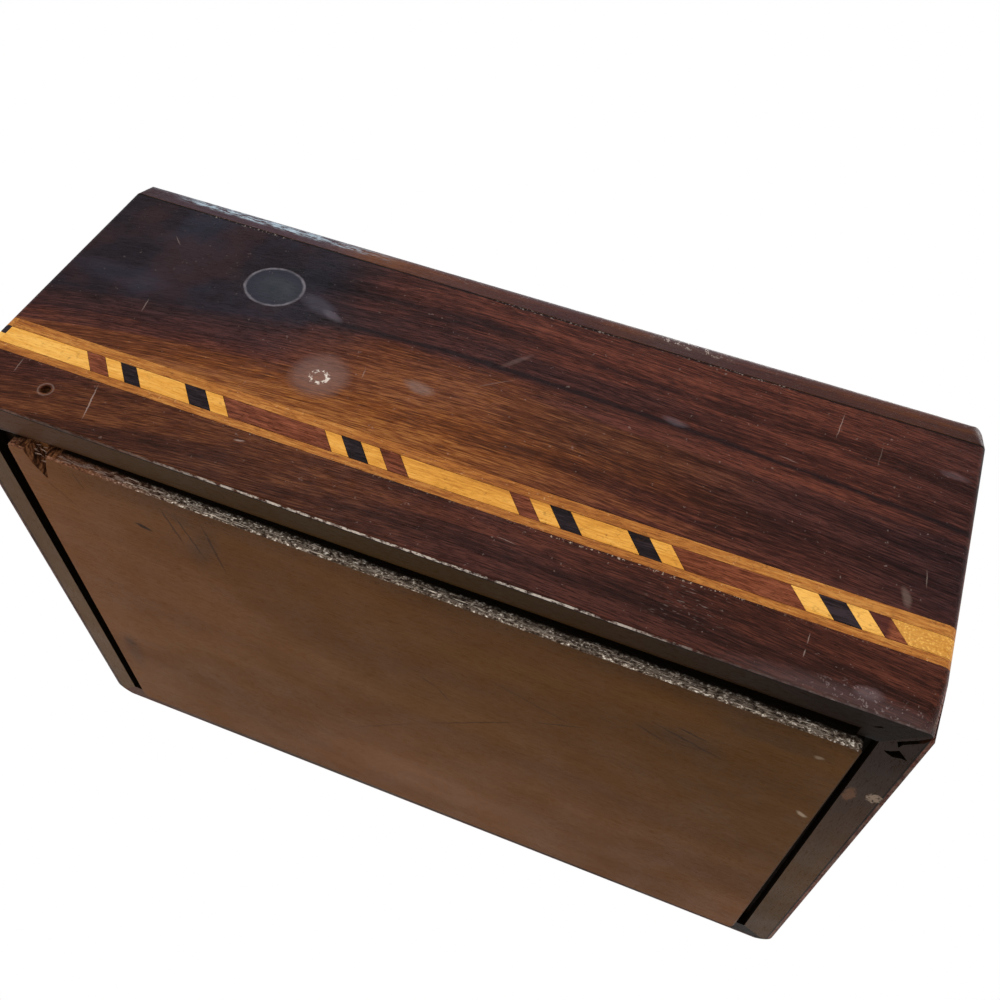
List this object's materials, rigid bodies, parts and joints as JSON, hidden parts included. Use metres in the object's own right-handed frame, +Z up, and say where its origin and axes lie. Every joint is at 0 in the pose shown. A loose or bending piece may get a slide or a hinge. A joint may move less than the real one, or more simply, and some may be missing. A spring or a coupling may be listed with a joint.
{
  "type": "playing card box",
  "caption": "Small rectangular wooden box for playing cards, with a lid hinged along the back, a divided inside and an inlaid band of slanted coloured woods round its walls.",
  "frame": {"origin": "under the middle of the box, on the underside of the base panel", "axes": "+X along the length, to the right as seen from the front; +Z up; the front wall faces -Y and the lid's hinges are at +Y"},
  "size_m": [0.152, 0.1014, 0.057],
  "materials": {
    "wall_wood": "polished",
    "veneer": "polished",
    "band_line": "polished",
    "band_pale": "polished",
    "band_red": "polished",
    "band_black": "polished",
    "bottom_wood": "bare",
    "panel_wood": "worn varnish",
    "divider_wood": "bare",
    "lid_wood": "polished",
    "brass": "aged",
    "brass_screws": "aged"
  },
  "bodies": {
    "box": {"front_wall": "wall_wood", "front_veneer": "veneer", "front_band_lower_line": "band_line", "front_band_upper_line": "band_line", "front_band_pale_pieces": "band_pale", "front_band_red_pieces": "band_red", "front_band_black_pieces": "band_black", "right_wall": "wall_wood", "right_veneer": "veneer", "right_band_lower_line": "band_line", "right_band_upper_line": "band_line", "right_band_pale_pieces": "band_pale", "right_band_red_pieces": "band_red", "right_band_black_pieces": "band_black", "back_wall": "wall_wood", "back_veneer": "veneer", "back_band_lower_line": "band_line", "back_band_upper_line": "band_line", "back_band_pale_pieces": "band_pale", "back_band_red_pieces": "band_red", "back_band_black_pieces": "band_black", "left_wall": "wall_wood", "left_veneer": "veneer", "left_band_lower_line": "band_line", "left_band_upper_line": "band_line", "left_band_pale_pieces": "band_pale", "left_band_red_pieces": "band_red", "left_band_black_pieces": "band_black", "bottom_board": "bottom_wood", "base_panel": "panel_wood", "divider": "divider_wood", "left_hinge_box_leaf": "brass", "right_hinge_box_leaf": "brass", "left_hinge_pin": "brass", "right_hinge_pin": "brass", "hinge_screws_in_box": "brass_screws"},
    "lid": {"lid_board": "lid_wood", "left_hinge_lid_leaf": "brass", "right_hinge_lid_leaf": "brass", "hinge_screws_in_lid": "brass_screws"}
  },
  "joints": [
    {"name": "lid_hinge", "type": "hinge", "parent": "box", "child": "lid", "pos_m": [0, 0.0495, 0.05295], "axis": [-1, 0, 0], "range_deg": [0, 98]}
  ]
}
